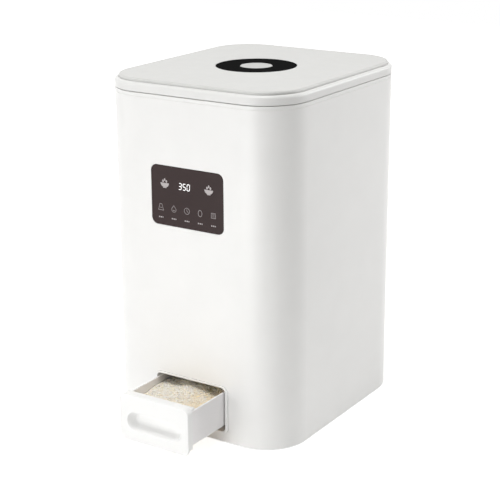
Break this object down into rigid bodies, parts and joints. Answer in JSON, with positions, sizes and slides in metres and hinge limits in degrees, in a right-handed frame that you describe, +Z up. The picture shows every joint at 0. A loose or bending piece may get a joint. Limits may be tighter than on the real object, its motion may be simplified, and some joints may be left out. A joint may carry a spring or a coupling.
{
  "type": "rice dispenser",
  "caption": "Counter-top rice bin with a push-to-open hinged lid, touch panel, motor-driven metering rotor and a weighing drawer at its foot.",
  "frame": {"origin": "on the floor under the centre of the body, in the plane of the feet", "axes": "+Z up, -Y the front face with the touch panel and the drawer, +X to the right seen from the front"},
  "size_m": [0.2396, 0.3581, 0.4],
  "materials": {
    "white_shell": "satin moulded, near-white",
    "white_trim": "satin moulded, near-white",
    "lid_grey": "fine matte, light grey",
    "lid_skirt": "satin moulded, near-white",
    "ring_black": "smooth black",
    "touch_glass": "dark tinted, printed behind",
    "base_grey": "moulded, light grey",
    "foot_rubber": "matte grey",
    "screw_steel": "zinc plated",
    "steel": "bright",
    "spring_steel": "bright wire",
    "hopper_plastic": "moulded, milky white",
    "drawer_plastic": "moulded, light grey-white",
    "drive_plastic": "moulded, light grey",
    "rotor_plastic": "soft blue-grey",
    "gear_plastic": "natural acetal",
    "bush_plastic": "dark filled plastic",
    "motor_steel": "plated can",
    "silicone": "soft translucent",
    "cell_aluminium": "milled",
    "board_green": "solder mask",
    "display_black": "black",
    "cell_wrap": "shrink wrap",
    "brass": "machined",
    "cartridge_plastic": "moulded, white"
  },
  "bodies": {
    "cabinet": {"body_shell": "white_shell", "top_rim": "white_shell", "hinge_pins": "steel", "base_tray": "base_grey", "rubber_feet": "foot_rubber", "base_screws": "screw_steel", "rice_hopper": "hopper_plastic", "outlet_gasket": "silicone", "hopper_screws": "screw_steel", "rotor_housing": "drive_plastic", "housing_cover": "drive_plastic", "housing_screws": "screw_steel", "shaft_bushes": "bush_plastic", "motor_bracket": "drive_plastic", "motor_screws": "screw_steel", "gear_motor": "motor_steel", "drawer_bezel": "white_trim", "weigh_cradle": "base_grey", "load_cell": "cell_aluminium", "load_cell_screws": "screw_steel", "touch_glass": "touch_glass", "control_board": "board_green", "digit_display": "display_black", "touch_springs": "spring_steel", "board_screws": "screw_steel", "battery_holder": "display_black", "battery_cells": "cell_wrap", "power_board": "board_green", "power_board_screws": "screw_steel", "charge_port": "steel", "catch_spring": "spring_steel"},
    "drawer": {"drawer_front": "white_trim", "drawer_box": "drawer_plastic", "drawer_screws": "screw_steel"},
    "rotor": {"metering_rotor": "rotor_plastic", "rotor_shaft": "steel", "rotor_pin": "steel", "drive_gear": "gear_plastic"},
    "pinion": {"motor_pinion": "brass"},
    "lid": {"lid_frame": "lid_skirt", "lid_cover": "lid_grey", "lid_ring": "ring_black", "lid_liner": "hopper_plastic", "lid_seal": "silicone", "lid_screws": "screw_steel", "button_spring": "spring_steel", "latch_spring": "spring_steel"},
    "button": {"lid_button": "lid_grey"},
    "latch": {"latch_slider": "gear_plastic"},
    "dryer": {"dryer_cap": "drawer_plastic", "dryer_cartridge": "cartridge_plastic"}
  },
  "joints": [
    {"name": "drawer_slide", "type": "slide", "parent": "cabinet", "child": "drawer", "axis": [0, -1, 0], "range_m": [-0.0609, 0.0245]},
    {"name": "lid_hinge", "type": "hinge", "parent": "cabinet", "child": "lid", "pos_m": [0, 0.144, 0.382], "axis": [-1, 0, 0], "range_deg": [0, 100], "deforming": ["catch_spring"]},
    {"name": "button_press", "type": "slide", "parent": "lid", "child": "button", "axis": [0, 0, -1], "range_m": [0, 0.004], "stiffness_N_per_m": 400, "deforming": ["button_spring"]},
    {"name": "latch_slide", "type": "slide", "parent": "lid", "child": "latch", "axis": [0, 1, 0], "range_m": [0, 0.004], "stiffness_N_per_m": 250, "deforming": ["latch_spring"]},
    {"name": "rotor_spin", "type": "hinge", "parent": "cabinet", "child": "rotor", "pos_m": [0, -0.0721, 0.1], "axis": [1, 0, 0], "continuous": true},
    {"name": "pinion_spin", "type": "hinge", "parent": "cabinet", "child": "pinion", "pos_m": [0, -0.04505, 0.1], "axis": [1, 0, 0], "continuous": true},
    {"name": "dryer_twist", "type": "hinge", "parent": "lid", "child": "dryer", "pos_m": [0, 0.072, 0.3695], "axis": [0, 0, 1], "range_deg": [0, 60]}
  ],
  "couplings": [
    {"joint": "pinion_spin", "follows": "rotor_spin", "ratio": -2.8571},
    {"joint": "latch_slide", "follows": "button_press", "ratio": 1}
  ]
}
